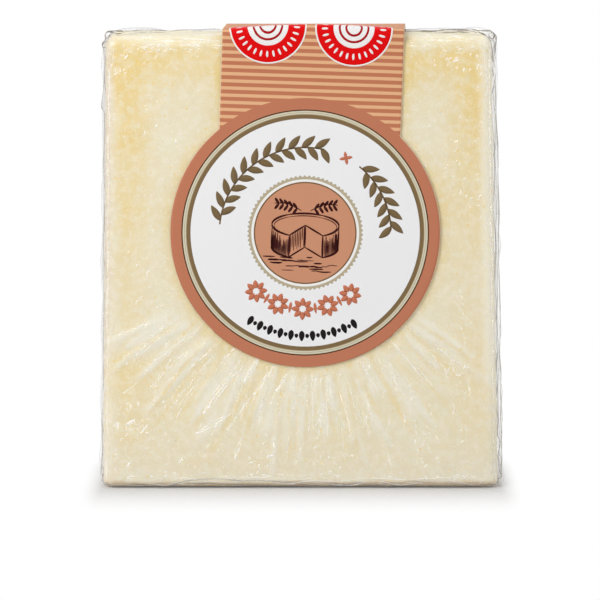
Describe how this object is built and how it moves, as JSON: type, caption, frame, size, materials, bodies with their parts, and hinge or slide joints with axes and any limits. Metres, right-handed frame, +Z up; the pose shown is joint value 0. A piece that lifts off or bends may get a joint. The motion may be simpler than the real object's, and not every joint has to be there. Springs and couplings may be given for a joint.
{
  "type": "vacuum-packed hard goat cheese",
  "caption": "Upright block of hard goat cheese in clear shrunk film, with a paper label folded over its top edge: a broad strap between a round front panel and a round back one.",
  "frame": {"origin": "middle of the foot, on the surface that the pack stands on", "axes": "+Z up along the height, the front face with the round label panel looks towards -Y, +X to the right as seen from the front"},
  "size_m": [0.1057, 0.0256, 0.1209],
  "materials": {
    "shrink_film": "clear glossy shrunk film, crinkled at the narrow sides, over pale cheese",
    "cheese": "pale cream cheese, fine grained and slightly waxy, yellower towards its edges",
    "label_paper": "smooth coated label paper, half matt, printed in earth colours",
    "ink_terracotta": "matt print",
    "ink_olive": "matt print",
    "ink_dark": "matt print in dark brown",
    "symbol_red": "bright red print",
    "symbol_white": "white print"
  },
  "bodies": {
    "root": {"vacuum_pack": "shrink_film", "label": "label_paper"}
  },
  "joints": []
}
